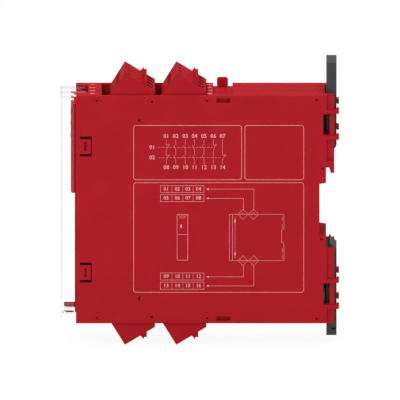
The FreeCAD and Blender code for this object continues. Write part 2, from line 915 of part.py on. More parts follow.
def plug_contact(x):
    """One contact: a plate under the clamp cage and the socket that takes the header's pin."""
    half = contact_width / 2
    cage_bottom = cage_top + cage_height
    front_face = pin_place - socket_thick / 2
    back_face = pin_place + socket_thick / 2
    low = plug_shoulder + nose_length - nose_floor_gap - fit_gap
    plate = block(
        x - half, x + half,
        front_face, cage_start + cage_thick - contact_end_walls * cage_wall,
        -cage_bottom - contact_plate, -cage_bottom,
    )
    socket_high = -cage_bottom - contact_plate + socket_root
    socket = block(x - half, x + half, front_face, back_face, -low, socket_high)
    hole_half = pin_size / 2 + socket_fit
    hole = block(
        x - hole_half, x + hole_half,
        pin_place - hole_half, pin_place + hole_half,
        -far, -cage_bottom - 2 * contact_plate,
    )
    return plate.fuse(socket).cut(hole).removeSplitter()


def header_body():
    """The shrouded header on the bay floor, which takes the plug's nose."""
    gap = running_gap
    outer_start = nose_start - gap - header_wall
    outer_end = nose_start + nose_thick + gap + header_wall
    inner_half = half_plug - header_wall
    outer = block(-half_plug, half_plug, outer_start, outer_end, -header_seat, -header_seat + header_height)
    inner = block(
        -inner_half, inner_half,
        outer_start + header_wall, outer_end - header_wall,
        -header_seat + header_floor, overshoot,
    )
    half = pin_size / 2 + pin_header_fit
    holes = [
        block(x - half, x + half, pin_place - half, pin_place + half, -far, 0)
        for x in poles()
    ]
    return outer.cut([inner] + holes)


def header_pins():
    """The header's four pins, each bent sideways to the main board."""
    half = pin_size / 2
    high = -header_seat + header_floor + pin_tip
    pins = []
    for number, x in enumerate(poles()):
        leg = header_seat + pin_leg_depth + number * pin_leg_step
        upright = block(x - half, x + half, pin_place - half, pin_place + half, -leg - half, high)
        foot = block(board_face, x, pin_place - half, pin_place + half, -leg - half, -leg + half)
        pins.append(upright.fuse(foot).removeSplitter())
    return join_apart(pins)


def main_board():
    """The main circuit board along the far side, cut to clear the bays."""
    outline = [point(y, z, -inside + board_gap) for y, z in cavity_outline()]
    face = Part.Face(Part.makePolygon(outline + outline[:1]))
    face = face.makeOffset2D(-board_edge_gap, sharp_corners)
    board = face.extrude(FreeCAD.Vector(board_thick, 0, 0))
    start = front + status_board_inset + status_board_thick
    limits = block(
        -far, far, start, -board_back_inset,
        middle - board_half_height, middle + board_half_height,
    )
    return board.common(limits)


def status_board():
    """The small upright board behind the front panel."""
    start = front + status_board_inset
    reach = inside - fit_gap - snap_arm_thick - running_gap
    return block(
        -inside + board_gap, reach, start, start + status_board_thick,
        middle - field_height / 2, panel_top - panel_edge - running_gap,
    )


def status_lights():
    """The light sources, one behind each light guide."""
    start = front + status_board_inset - led_height
    half = led_size / 2
    return join_apart([
        block(light_side - half, light_side + half, start, start + led_height, z - half, z + half)
        for z in light_heights
    ])


def safety_relay(sign):
    """One force-guided relay: its case on a base plate, soldered to the main board."""
    y1 = -relay_back_inset
    y0 = y1 - relay_length
    z = middle + sign * relay_spacing / 2
    half = relay_height / 2
    edge_half = half + relay_base_edge
    base = block(
        board_face, board_face + relay_base,
        y0 - relay_base_edge, y1 + relay_base_edge,
        z - edge_half, z + edge_half,
    )
    case = block(board_face + relay_base, board_face + relay_rise, y0, y1, z - half, z + half)
    upright = [edge for edge in case.Edges if edge.BoundBox.XLength > relay_rise / 2]
    case = case.makeChamfer(relay_chamfer, upright)
    return base.fuse(case).removeSplitter()


def transformer():
    """The supply transformer: a core round its wound bobbin."""
    y0 = front + transformer_inset
    y1 = y0 + transformer_length
    half = transformer_height / 2
    core = block(
        board_face + core_stand, board_face + transformer_rise,
        y0, y1,
        middle - half, middle + half,
    )
    window = block(
        board_face, board_face + transformer_rise - coil_margin,
        y0 - overshoot, y1 + overshoot,
        middle - half + coil_margin, middle + half - coil_margin,
    )
    bobbin = block(
        board_face, board_face + transformer_rise - coil_margin,
        y0 + coil_end_inset, y1 - coil_end_inset,
        middle - half + coil_margin, middle + half - coil_margin,
    )
    return core.cut(window), bobbin


def capacitor():
    """The smoothing capacitor, standing on the main board."""
    y = front + capacitor_inset
    z = middle - capacitor_drop
    along = FreeCAD.Vector(1, 0, 0)
    return rod(capacitor_diameter, point(y, z, board_face), along, capacitor_rise)


def build_all():
    housing, cover = side_halves()
    core, bobbin = transformer()
    nodes = {
        "housing": housing,
        "side_cover": cover,
        "front_panel": front_panel(),
        "front_cover": front_cover(),
        "light_guides": light_guides(),
        "mounting_foot": mounting_foot(),
        "rail_latch": rail_latch(),
        "latch_spring": latch_spring(),
        "main_board": main_board(),
        "status_board": status_board(),
        "status_lights": status_lights(),
        "relay_upper": safety_relay(1),
        "relay_lower": safety_relay(-1),
        "transformer_core": core,
        "transformer_bobbin": bobbin,
        "capacitor": capacitor(),
    }
    body = plug_body()
    cages = join_apart([clamp_cage(x) for x in poles()])
    screws = join_apart([clamp_screw(x) for x in poles()])
    contacts = join_apart([plug_contact(x) for x in poles()])
    shroud = header_body()
    pins = header_pins()
    for end, at_bottom in (("top", False), ("bottom", True)):
        for index, place in enumerate(("front", "rear")):
            name = f"{end}_{place}"
            nodes[f"plug_{name}"] = seat_plug_piece(body, index, at_bottom)
            nodes[f"clamps_{name}"] = seat_plug_piece(cages, index, at_bottom)
            nodes[f"screws_{name}"] = seat_plug_piece(screws, index, at_bottom)
            nodes[f"contacts_{name}"] = seat_plug_piece(contacts, index, at_bottom)
            nodes[f"header_{name}"] = seat_plug_piece(shroud, index, at_bottom)
            nodes[f"header_pins_{name}"] = seat_plug_piece(pins, index, at_bottom)
    return nodes


os.makedirs("parts", exist_ok=True)
for node_name, node_shape in build_all().items():
    node_shape.exportStep(f"parts/{node_name}.step")
    print(node_name, len(node_shape.Solids), round(node_shape.Volume, 2), node_shape.isValid())
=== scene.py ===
import math

import bmesh
import bpy
import numpy as np
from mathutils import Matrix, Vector


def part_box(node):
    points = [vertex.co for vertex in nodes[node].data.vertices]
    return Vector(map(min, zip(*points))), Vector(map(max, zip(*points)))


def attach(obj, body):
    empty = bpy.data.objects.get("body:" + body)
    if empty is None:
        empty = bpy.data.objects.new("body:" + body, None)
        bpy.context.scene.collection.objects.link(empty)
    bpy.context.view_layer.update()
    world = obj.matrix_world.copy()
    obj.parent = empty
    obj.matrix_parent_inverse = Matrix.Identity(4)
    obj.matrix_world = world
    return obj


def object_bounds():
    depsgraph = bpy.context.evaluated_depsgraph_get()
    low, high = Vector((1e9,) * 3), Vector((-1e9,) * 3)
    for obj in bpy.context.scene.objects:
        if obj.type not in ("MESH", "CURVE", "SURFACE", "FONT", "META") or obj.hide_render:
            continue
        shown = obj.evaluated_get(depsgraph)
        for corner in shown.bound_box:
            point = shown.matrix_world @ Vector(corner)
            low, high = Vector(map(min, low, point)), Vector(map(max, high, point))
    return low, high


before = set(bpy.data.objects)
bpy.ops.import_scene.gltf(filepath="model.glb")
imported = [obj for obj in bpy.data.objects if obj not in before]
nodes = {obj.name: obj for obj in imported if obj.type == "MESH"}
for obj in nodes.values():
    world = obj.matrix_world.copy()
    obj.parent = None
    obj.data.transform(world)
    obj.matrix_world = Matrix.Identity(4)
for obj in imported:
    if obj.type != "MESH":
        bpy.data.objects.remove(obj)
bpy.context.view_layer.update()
mm = 0.001
print("frame loaded:", len(nodes), "nodes")


def finish(name, roughness, metallic=0.0, specular=0.5):
    # an empty principled finish, with its shader and the piece's own coordinates to build on
    material = bpy.data.materials.new(name)
    material.use_nodes = True
    tree = material.node_tree
    shader = tree.nodes["Principled BSDF"]
    shader.inputs["Roughness"].default_value = roughness
    shader.inputs["Metallic"].default_value = metallic
    shader.inputs["Specular IOR Level"].default_value = specular
    place = tree.nodes.new("ShaderNodeTexCoord")
    return material, tree, shader, place.outputs["Object"]


def shade(colour, share):
    # the same hue at another strength
    return tuple(c * share for c in colour)


def noise(tree, place, size, detail=2.0, rough=0.5):
    # size is the distance between blotches, in millimetres
    node = tree.nodes.new("ShaderNodeTexNoise")
    node.inputs["Scale"].default_value = 1 / (size * mm)
    node.inputs["Detail"].default_value = detail
    node.inputs["Roughness"].default_value = rough
    tree.links.new(place, node.inputs["Vector"])
    return node.outputs["Fac"]


def bandScale(pitch):
    # a wave texture turns by 20 radians over one unit at scale 1, so this scale repeats it every pitch
    return 2 * math.pi / 20 / (pitch * mm)


def ramp(tree, factor, low, high, band=(0.3, 0.7)):
    # one colour up to the start of the band, another from its end on
    node = tree.nodes.new("ShaderNodeValToRGB")
    for element, at, colour in zip(node.color_ramp.elements, band, (low, high)):
        element.position = at
        element.color = (*colour, 1.0)
    tree.links.new(factor, node.inputs["Fac"])
    return node.outputs["Color"]


def spread(tree, factor, low, high):
    # a factor of 0 to 1 carried onto low to high
    node = tree.nodes.new("ShaderNodeMapRange")
    node.inputs["To Min"].default_value = low
    node.inputs["To Max"].default_value = high
    tree.links.new(factor, node.inputs["Value"])
    return node.outputs["Result"]


def bump(tree, shader, height, depth):
    # depth in millimetres
    node = tree.nodes.new("ShaderNodeBump")
    node.inputs["Strength"].default_value = 1.0
    node.inputs["Distance"].default_value = depth * mm
    tree.links.new(height, node.inputs["Height"])
    tree.links.new(node.outputs["Normal"], shader.inputs["Normal"])


redShell = {
    "colour": (0.392, 0.0130, 0.0200),
    "blotch": 0.05,             # share by which the colour wanders
    "blotchSize": 14.0,
    "grainSize": 0.32,
    "grainDepth": 0.012,
    "roughness": (0.42, 0.54),
    "gloss": 0.010,
}
redPlug = {**redShell, "colour": (0.392, 0.0122, 0.0194), "grainSize": 0.25, "gloss": 0.006}
redHeader = {**redShell, "colour": (0.25, 0.007, 0.012)}
greyFoot = {
    "colour": (0.052, 0.053, 0.053),
    "blotch": 0.08,
    "blotchSize": 9.0,
    "grainSize": 0.3,
    "grainDepth": 0.015,
    "roughness": (0.42, 0.56),
    "gloss": 0.14,
}
creamCase = {
    "colour": (0.62, 0.58, 0.46),
    "blotch": 0.05,
    "blotchSize": 8.0,
    "grainSize": 0.4,
    "grainDepth": 0.01,
    "roughness": (0.3, 0.42),
    "gloss": 0.4,
}
amberWinding = {
    "colour": (0.42, 0.22, 0.035),
    "blotch": 0.15,
    "blotchSize": 2.0,
    "grainSize": 0.5,
    "grainDepth": 0.04,
    "roughness": (0.25, 0.4),
    "gloss": 0.5,
}
blueSleeve = {
    "colour": (0.012, 0.03, 0.09),
    "blotch": 0.08,
    "blotchSize": 6.0,
    "grainSize": 0.6,
    "grainDepth": 0.006,
    "roughness": (0.2, 0.3),
    "gloss": 0.5,
}


def mouldedPlastic(name, look):
    # a cloudy pigment over a fine spark-eroded grain, with the gloss wandering by the same grain
    material, tree, shader, place = finish(name, look["roughness"][0], specular=look["gloss"])
    cloud = noise(tree, place, look["blotchSize"], 3.0)
    low, high = (shade(look["colour"], 1 + way * look["blotch"]) for way in (-1, 1))
    pigment = ramp(tree, cloud, low, high)
    tree.links.new(pigment, shader.inputs["Base Color"])
    grain = noise(tree, place, look["grainSize"], 2.0, 0.6)
    tree.links.new(spread(tree, grain, *look["roughness"]), shader.inputs["Roughness"])
    bump(tree, shader, grain, look["grainDepth"])
    return material


platedSteel = {"colour": (0.60, 0.60, 0.58), "roughness": 0.3, "streak": 0.2}
springSteel = {"colour": (0.16, 0.16, 0.17), "roughness": 0.6, "streak": 0.15}
contactBrass = {"colour": (0.72, 0.52, 0.22), "roughness": 0.28, "streak": 0.25}
drawnMetal = {
    "stretch": (0.08, 1.0, 1.0),        # streaks run along X
    "dark": 0.82,
    "roughness": (0.8, 1.25),           # shares of the look's own roughness
    "depth": 0.006,
}


def metal(name, look):
    # fine drawn streaks that change the colour, the gloss and the height a little
    material, tree, shader, place = finish(name, look["roughness"], metallic=1.0)
    stretch = tree.nodes.new("ShaderNodeMapping")
    stretch.inputs["Scale"].default_value = drawnMetal["stretch"]
    tree.links.new(place, stretch.inputs["Vector"])
    lines = noise(tree, stretch.outputs["Vector"], look["streak"], 3.0)
    colour = ramp(tree, lines, shade(look["colour"], drawnMetal["dark"]), look["colour"])
    tree.links.new(colour, shader.inputs["Base Color"])
    low, high = (look["roughness"] * share for share in drawnMetal["roughness"])
    tree.links.new(spread(tree, lines, low, high), shader.inputs["Roughness"])
    bump(tree, shader, lines, drawnMetal["depth"])
    return material


# skin is the gloss on top, and clear the share of the light that passes
clearCover = {
    "tint": (0.99, 0.995, 0.995),
    "roughness": 0.02,
    "ior": 1.06,
    "skin": 0.6,
    "clear": 1.0,
    "paintedWallShade": 0.90,                  # painted shade: the share of the tint left on the front wall, so its edge-on line shows grey
    "wallEdge": (-112.0, -111.8),       # where that wall ends, in Y
}
clearGuide = {"tint": (0.80, 0.86, 0.80), "roughness": 0.15, "ior": 1.45, "skin": 0.5, "clear": 0.5}
paleLens = {"tint": (0.75, 0.9, 0.75), "roughness": 0.12, "ior": 1.45, "skin": 0.0, "clear": 0.8}
flowMark = {"size": 9.0, "pale": 0.985, "band": (0.35, 0.65), "rougher": 1.6}


def frontWall(tree, place, tint, look):
    # painted shade: the tint times a share that rises to 1 across the wall's edge, so the front wall shows
    # as a grey line
    axes = tree.nodes.new("ShaderNodeSeparateXYZ")
    tree.links.new(place, axes.inputs["Vector"])
    wall = tree.nodes.new("ShaderNodeMapRange")
    wall.inputs["From Min"].default_value = look["wallEdge"][0] * mm
    wall.inputs["From Max"].default_value = look["wallEdge"][1] * mm
    wall.inputs["To Min"].default_value = look["paintedWallShade"]
    tree.links.new(axes.outputs["Y"], wall.inputs["Value"])
    both = tree.nodes.new("ShaderNodeVectorMath")
    both.operation = "SCALE"
    tree.links.new(tint, both.inputs[0])
    tree.links.new(wall.outputs["Result"], both.inputs["Scale"])
    return both.outputs["Vector"]


def clearPlastic(name, look):
    # polycarbonate: clear, with a faint flow mark in its tint and gloss
    material, tree, shader, place = finish(name, look["roughness"])
    shader.inputs["Transmission Weight"].default_value = look["clear"]
    shader.inputs["IOR"].default_value = look["ior"]
    shader.inputs["Coat Weight"].default_value = look["skin"]
    shader.inputs["Coat Roughness"].default_value = look["roughness"]
    flow = noise(tree, place, flowMark["size"], 1.0)
    tint = ramp(tree, flow, shade(look["tint"], flowMark["pale"]), look["tint"], flowMark["band"])
    # the front wall's tint is darkened here, as painted shade for its grey edge-on line
    if "paintedWallShade" in look:
        tint = frontWall(tree, place, tint, look)
    tree.links.new(tint, shader.inputs["Base Color"])
    gloss = spread(tree, flow, look["roughness"], look["roughness"] * flowMark["rougher"])
    tree.links.new(gloss, shader.inputs["Roughness"])
    return material


greenBoard = {
    "mask": (0.012, 0.085, 0.035),
    "track": (0.02, 0.14, 0.055),
    "trackPitch": 1.27,
    "blockSize": 7.0,           # the tracks break off at blocks of about this size
    "trackEdge": (0.2, 0.26),
    "depth": 0.05,
    "roughness": 0.32,
}


def boardFinish(name, look):
    # solder mask over copper tracks: rows of raised bands along Z, broken up by square blocks
    material, tree, shader, place = finish(name, look["roughness"])
    wave = tree.nodes.new("ShaderNodeTexWave")
    wave.bands_direction = "Y"
    wave.inputs["Scale"].default_value = bandScale(look["trackPitch"])
    tree.links.new(place, wave.inputs["Vector"])
    blocks = tree.nodes.new("ShaderNodeTexVoronoi")
    blocks.inputs["Scale"].default_value = 1 / (look["blockSize"] * mm)
    blocks.distance = "CHEBYCHEV"
    tree.links.new(place, blocks.inputs["Vector"])
    both = tree.nodes.new("ShaderNodeMath")
    both.operation = "MULTIPLY"
    tree.links.new(wave.outputs["Fac"], both.inputs[0])
    tree.links.new(blocks.outputs["Distance"], both.inputs[1])
    tracks = ramp(tree, both.outputs[0], look["mask"], look["track"], look["trackEdge"])
    tree.links.new(tracks, shader.inputs["Base Color"])
    bump(tree, shader, both.outputs[0], look["depth"])
    return material


ironCore = {
    "colour": (0.16, 0.16, 0.17),
    "sheet": 0.5,
    "joint": 0.35,              # share of the colour in the joint between two sheets
    "jointEdge": (0.08, 0.2),
    "depth": 0.04,
    "roughness": 0.45,
    "metallic": 0.8,
    "gloss": 0.4,
}


def laminated(name, look):
    # stacked sheets: dark joints across X, one to each sheet
    material, tree, shader, place = finish(name, look["roughness"], look["metallic"], look["gloss"])
    sheets = tree.nodes.new("ShaderNodeTexWave")
    sheets.bands_direction = "X"
    sheets.inputs["Scale"].default_value = bandScale(look["sheet"])
    tree.links.new(place, sheets.inputs["Vector"])
    height = sheets.outputs["Fac"]
    colour = ramp(tree, height, shade(look["colour"], look["joint"]), look["colour"], look["jointEdge"])
    tree.links.new(colour, shader.inputs["Base Color"])
    bump(tree, shader, height, look["depth"])
    return material


finishes = {
    "redShell": mouldedPlastic("signal_red_moulding", redShell),
    "redPlug": mouldedPlastic("signal_red_plug", redPlug),
    "greyFoot": mouldedPlastic("dark_grey_moulding", greyFoot),
    "redHeader": mouldedPlastic("red_header", redHeader),
    "cream": mouldedPlastic("cream_relay_case", creamCase),
    "bobbin": mouldedPlastic("amber_winding", amberWinding),
    "sleeve": mouldedPlastic("dark_blue_sleeve", blueSleeve),
    "clear": clearPlastic("clear_cover_plastic", clearCover),
    "guide": clearPlastic("clear_guide_plastic", clearGuide),
    "lens": clearPlastic("pale_lens", paleLens),
    "steel": metal("plated_steel", platedSteel),
    "spring": metal("spring_steel", springSteel),
    "brass": metal("contact_brass", contactBrass),
    "board": boardFinish("green_board", greenBoard),
    "core": laminated("laminated_core", ironCore),
}

nodeFinish = {
    "housing": "redShell",
    "side_cover": "redShell",
    "front_panel": "redShell",
    "front_cover": "clear",
    "light_guides": "guide",
    "mounting_foot": "greyFoot",
    "rail_latch": "greyFoot",
    "latch_spring": "spring",
    "main_board": "board",
    "status_board": "board",
    "status_lights": "lens",
    "relay_upper": "cream",
    "relay_lower": "cream",
    "transformer_core": "core",
    "transformer_bobbin": "bobbin",
    "capacitor": "sleeve",
}
# each of these is there four times, once for each terminal plug
groupFinish = {
    "plug": "redPlug",
    "clamps": "steel",
    "screws": "steel",
    "contacts": "brass",
    "header": "redHeader",
    "header_pins": "brass",
}
for corner in ("top_front", "top_rear", "bottom_front", "bottom_rear"):
    for group, look in groupFinish.items():
        nodeFinish[f"{group}_{corner}"] = look
for name, node in nodes.items():
    node.data.materials.clear()
    node.data.materials.append(finishes[nodeFinish[name]])
print("finishes on", len(nodeFinish), "nodes")


# the print stands on the labelled side; its places are Y and Z there, in millimetres
labelPrint = {
    "colour": (0.90, 0.45, 0.47),
    "worn": 0.9,                # share of the colour where the ink is thin
    "wearSize": 0.5,
    "wearDepth": 0.004,
    "wearEdge": (0.35, 0.6),
    "roughness": 0.6,
    "gloss": 0.2,
    "thick": 0.02,
}


def printInk():
    # matt ink, a little broken where the grain of the moulding shows through
    material, tree, shader, place = finish("white_print", labelPrint["roughness"], 0.0, labelPrint["gloss"])
    wear = noise(tree, place, labelPrint["wearSize"])
    pale = labelPrint["colour"]
    colour = ramp(tree, wear, shade(pale, labelPrint["worn"]), pale, labelPrint["wearEdge"])
    tree.links.new(colour, shader.inputs["Base Color"])
    bump(tree, shader, wear, labelPrint["wearDepth"])
    return material


def arc(centre, radius, start, end, steps=7):
    # points round a circle, angles in degrees
    angle = np.radians(np.linspace(start, end, steps))
    return np.array(centre) + radius * np.column_stack([np.cos(angle), np.sin(angle)])


def roundedBox(y0, y1, z0, z1, radius):
    # four quarter circles joined by straight runs
    corners = [((y1 - radius, z1 - radius), 0), ((y0 + radius, z1 - radius), 90),
               ((y0 + radius, z0 + radius), 180), ((y1 - radius, z0 + radius), 270)]
    return np.vstack([arc(centre, radius, start, start + 90) for centre, start in corners])


def stripe(path, width, closed=False):
    # a flat band carried along a path: each point moves out by half the width over the cosine of half
    # the turn there, and the section is a low rectangle, from just under the face to the ink's thickness
    path = np.asarray(path, float)
    run = np.roll(path, -1, 0) - path
    run /= np.linalg.norm(run, axis=1, keepdims=True)
    before = np.roll(run, 1, 0)
    if not closed:
        run[-1] = run[-2]
        before[0] = run[0]
    side = np.column_stack([-(run + before)[:, 1], (run + before)[:, 0]])
    side /= np.linalg.norm(side, axis=1, keepdims=True)
    sharpest = 0.35             # keeps a very sharp corner from growing a spike
    cosine = np.clip(np.sum(side * np.column_stack([-run[:, 1], run[:, 0]]), 1), sharpest, 1)[:, None]
    out = side * (width / 2) / cosine
    low, high = -labelPrint["thick"], labelPrint["thick"]
    ring = [(path + out, low), (path + out, high), (path - out, high), (path - out, low)]
    count = len(path)
    points = np.stack([np.column_stack([flat, np.full(count, h)]) for flat, h in ring], 1).reshape(-1, 3)
    i = np.arange(count if closed else count - 1)[:, None]
    j = np.arange(4)[None, :]
    ahead, beside = (i + 1) % count, (j + 1) % 4
    faces = np.stack([i * 4 + j, i * 4 + beside, ahead * 4 + beside, ahead * 4 + j], -1).reshape(-1, 4)
    if not closed:
        ends = [np.arange(4)[::-1], np.arange(4) + 4 * (count - 1)]
        faces = np.vstack([faces, ends])
    return points, faces


def plate(outline):
    # a filled patch of ink: an outline that runs against the clock, as a low solid
    outline = np.asarray(outline, float)
    count = len(outline)
    low, high = -labelPrint["thick"], labelPrint["thick"]
    points = np.vstack([np.column_stack([outline, np.full(count, h)]) for h in (low, high)])
    walls = [[i, (i + 1) % count, (i + 1) % count + count, i + count] for i in range(count)]
    return points, [list(range(count))[::-1], list(range(count, 2 * count))] + walls


figures = {"size": 1.4, "resolution": 2, "weld": 0.001}     # size is the font's, for figures of height 1


def digitsAt(text, centre, height):
    # Blender's own plain figures as a low solid, centred on a place of the print
    curve = bpy.data.curves.new("figures", "FONT")
    curve.body = text
    curve.size = height * figures["size"]
    curve.resolution_u = figures["resolution"]
    curve.align_x = "CENTER"
    curve.align_y = "CENTER"
    curve.extrude = labelPrint["thick"]
    holder = bpy.data.objects.new("figures", curve)
    mesh = bpy.data.meshes.new_from_object(holder)
    solid = bmesh.new()
    solid.from_mesh(mesh)
    bmesh.ops.remove_doubles(solid, verts=solid.verts, dist=figures["weld"])
    bmesh.ops.recalc_face_normals(solid, faces=solid.faces)
    solid.to_mesh(mesh)
    solid.free()
    points = np.zeros(len(mesh.vertices) * 3)
    mesh.vertices.foreach_get("co", points)
    points = points.reshape(-1, 3) + np.array([*centre, 0.0])
    faces = [list(polygon.vertices) for polygon in mesh.polygons]
    bpy.data.objects.remove(holder)
    bpy.data.curves.remove(curve)
    bpy.data.meshes.remove(mesh)
    return points, faces


def joinParts(parts):
    # one list of points and faces from several
    points, faces, start = [], [], 0
    for some, kept in parts:
        points.append(some)
        faces += [[int(v) + start for v in face] for face in kept]
        start += len(some)
    return np.vstack(points), faces


def makePiece(name, points, faces, material, body="module"):
    # a new piece from points in metres, its object left at the origin, riding on one body
    mesh = bpy.data.meshes.new(name)
    mesh.from_pydata(points.tolist(), [], faces)
    mesh.validate()
    mesh.update()
    piece = bpy.data.objects.new(name, mesh)
    bpy.context.scene.collection.objects.link(piece)
    mesh.materials.append(material)
    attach(piece, body)
    return piece


def onSide(points):
    # print drawn as (y, z, height) laid on the labelled face
    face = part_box("side_cover")[1][0] / mm
    return np.column_stack([face + points[:, 2], points[:, 0], points[:, 1]]) * mm


def onEnd(points, level, sign):
    # print drawn as (x, y, height) laid on the top, or with sign -1 on the bottom, to be read from there
    return np.column_stack([points[:, 0], sign * points[:, 1], level + sign * points[:, 2]]) * mm


ink = printInk()

borders = {
    "line": 0.14,
    "corner": 1.1,
    "boxes": [(-81.8, -35.9, 12.2, 36.0), (-34.5, -9.5, 12.2, 36.0), (-81.8, -9.5, -37.2, 10.9)],
}


def boxOutlines():
    # three frames with round corners
    return [stripe(roundedBox(*box, borders["corner"]), borders["line"], True) for box in borders["boxes"]]


diagram = {
    "line": 0.08,
    "digits": 1.75,
    "columns": [-67.9, -63.9, -59.8, -55.9, -51.9, -47.9, -44.0],
    "upperNumbers": 31.3,
    "lowerNumbers": 17.6,
    "top": 29.8,
    "bottom": 19.0,
    "gap": 1.0,                 # a contact reaches this far above and below its row
    "bar": 1.5,
    "closedBlade": (1.3, 0.5),  # from the contact's upper end, in Y and Z
    "openBlade": (-0.8, -0.1),
    "rows": [                   # where the dashed line ends, the closed columns and the one left out
        {"level": 26.4, "end": -47.6, "closed": (0, 5), "without": 6},
        {"level": 21.9, "end": -43.6, "closed": (0, 6), "without": 5},
    ],
    "rowNumbers": -73.9,
    "dashStart": -71.4,
    "dash": 1.0,
    "dashPitch": 1.6,
}


def contactAt(y, level, closed):
    # an open contact is a blade standing away to the front; a closed one leans on a short bar behind it
    high, low = level + diagram["gap"], level - diagram["gap"]
    across, up = diagram["closedBlade" if closed else "openBlade"]
    blade = [(y + across, high + up), (y, low)]
    return [[(y, high), (y + diagram["bar"], high)], blade] if closed else [blade]


def contactDiagram():
    # seven columns of contacts, switched by two dashed lines
    parts = []
    for number, y in enumerate(diagram["columns"]):
        upper, lower = number + 1, number + 1 + len(diagram["columns"])
        parts.append(digitsAt(f"{upper:02d}", (y, diagram["upperNumbers"]), diagram["digits"]))
        parts.append(digitsAt(f"{lower:02d}", (y, diagram["lowerNumbers"]), diagram["digits"]))
        start, lines = diagram["top"], []
        for row in diagram["rows"]:
            if number == row["without"]:
                continue
            lines.append([(y, start), (y, row["level"] + diagram["gap"])])
            lines += contactAt(y, row["level"], number in row["closed"])
            start = row["level"] - diagram["gap"]
        lines.append([(y, start), (y, diagram["bottom"])])
        parts += [stripe(line, diagram["line"]) for line in lines]
    for number, row in enumerate(diagram["rows"]):
        level, end = row["level"], row["end"]
        parts.append(digitsAt(f"{number + 1:02d}", (diagram["rowNumbers"], level), diagram["digits"]))
        for y in np.arange(diagram["dashStart"], end - diagram["dash"], diagram["dashPitch"]):
            parts.append(stripe([(y, level), (min(y + diagram["dash"], end), level)], diagram["line"]))
    return parts


tables = {
    "line": 0.10,
    "innerLine": 0.07,
    "digits": 1.6,
    "edges": [-70.4, -65.5, -60.9, -56.5, -51.9],
    "rows": [(9.6, 6.6), (5.7, 2.6), (-28.7, -31.8), (-32.7, -35.9)],
}


def numberTables():
    # four rows of four cells
    parts, edges = [], tables["edges"]
    cells = len(edges) - 1
    for row, (high, low) in enumerate(tables["rows"]):
        rim = [(edges[0], high), (edges[-1], high), (edges[-1], low), (edges[0], low)]
        parts.append(stripe(rim, tables["line"], True))
        for column in range(cells):
            if column:
                parts.append(stripe([(edges[column], high), (edges[column], low)], tables["innerLine"]))
            middle = ((edges[column] + edges[column + 1]) / 2, (high + low) / 2)
            parts.append(digitsAt(f"{cells * row + column + 1:02d}", middle, tables["digits"]))
    return parts


leaders = {
    "line": 0.096,
    "tip": -50.9,
    "head": (1.0, 0.4),         # length and half height of an arrow's head
    "routes": [(8.1, -30.7, -1.0), (4.0, -35.1, -1.0),      # height, then Y and Z where it turns and ends
               (-30.4, -35.1, -25.3), (-34.4, -30.7, -25.3)],
}


def leaderLines():
    # arrows from the plugs of the drawing to the tables
    parts = []
    tip, (length, half) = leaders["tip"], leaders["head"]
    for level, turn, end in leaders["routes"]:
        parts.append(stripe([(tip + length, level), (turn, level), (turn, end)], leaders["line"]))
        parts.append(plate([(tip, level), (tip + length, level - half), (tip + length, level + half)]))
    return parts


drawing = {
    "line": 0.11,
    "thinLine": 0.08,
    "bodyLine": 0.088,
    "body": [(-39.6, -3.0), (-17.9, -3.0), (-17.9, -9.3), (-18.9, -10.1), (-18.9, -15.2),
             (-18.2, -15.6), (-17.9, -16.6), (-17.9, -23.3), (-39.6, -23.3)],
    "cover": [(-41.1, -3.0), (-41.1, -23.3), (-39.8, -23.3), (-39.8, -3.0)],
    "panel": [(-38.7, -4.0), (-38.7, -22.3)],
    "catchLine": 0.5,
    "catches": [[(-38.7, -5.3), (-38.7, -6.6)], [(-38.7, -19.7), (-38.7, -21.0)]],
    "plugs": (-35.3, -30.8),
    "plugEnds": ((-3.0, 1), (-23.3, -1)),       # height of the body's end, and which way is outward
    "plugHalf": (2.1, 2.2),
    "ridgeLine": 0.056,
    "ridgeHalf": 1.2,
    "ridge": (-0.5, 0.8),                       # foot and crest of a plug's ridge, outward
    "guideY": -18.6,
    "guides": (-5.0, -8.2, -18.8, -21.6),
    "guideHalf": 0.9,
    "faceLine": 0.1265,
    "face": [(-63.3, -3.0), (-58.8, -3.0), (-58.8, -23.1), (-63.3, -23.1)],
    "faceStep": [(-63.3, -11.8), (-58.8, -11.8)],
    "faceTop": [[(-62.6, -3.2), (-61.6, -4.6), (-60.4, -4.6), (-59.5, -3.2)],
                [(-62.4, -4.8), (-61.0, -3.4), (-59.7, -4.8)]],
    "light": (-61.6, -8.2),
    "lightHalf": (0.35, 0.77),
    "lightSteps": 24,
}


def drawnPlug(y, z, way):
    # a plug of the drawing: a diamond across the body's end, with its ridge inside
    wide, high = drawing["plugHalf"]
    foot, crest = (z + way * h for h in drawing["ridge"])
    diamond = [(y, z + way * high), (y + wide, z), (y, z - way * high), (y - wide, z)]
    ridge = [(y - drawing["ridgeHalf"], foot), (y, crest), (y + drawing["ridgeHalf"], foot)]
    return [stripe(diamond, drawing["thinLine"], True), stripe(ridge, drawing["ridgeLine"])]


def moduleDrawing():
    # the module's own side view, with a front view beside it
    line, thin = drawing["line"], drawing["thinLine"]
    parts = [stripe(drawing["body"], drawing["bodyLine"]), stripe(drawing["cover"], line, True),
             stripe(drawing["panel"], thin)]
    parts += [stripe(catch, drawing["catchLine"]) for catch in drawing["catches"]]
    for y in drawing["plugs"]:
        for z, way in drawing["plugEnds"]:
            parts += drawnPlug(y, z, way)
    y, half = drawing["guideY"], drawing["guideHalf"]
    parts += [stripe([(y, z + half), (y, z - half)], thin) for z in drawing["guides"]]
    parts += [stripe(drawing["face"], drawing["faceLine"], True), stripe(drawing["faceStep"], line)]
    parts += [stripe(path, thin) for path in drawing["faceTop"]]
    steps = drawing["lightSteps"]
    light = arc((0, 0), 1.0, 0, 360 * (1 - 1 / steps), steps) * drawing["lightHalf"] + drawing["light"]
    return parts + [plate(light)]


sideParts = boxOutlines() + contactDiagram() + numberTables() + leaderLines() + moduleDrawing()
points, faces = joinParts(sideParts)
sidePrint = makePiece("side_print", onSide(points), faces, ink)
print("side print:", len(faces), "faces")

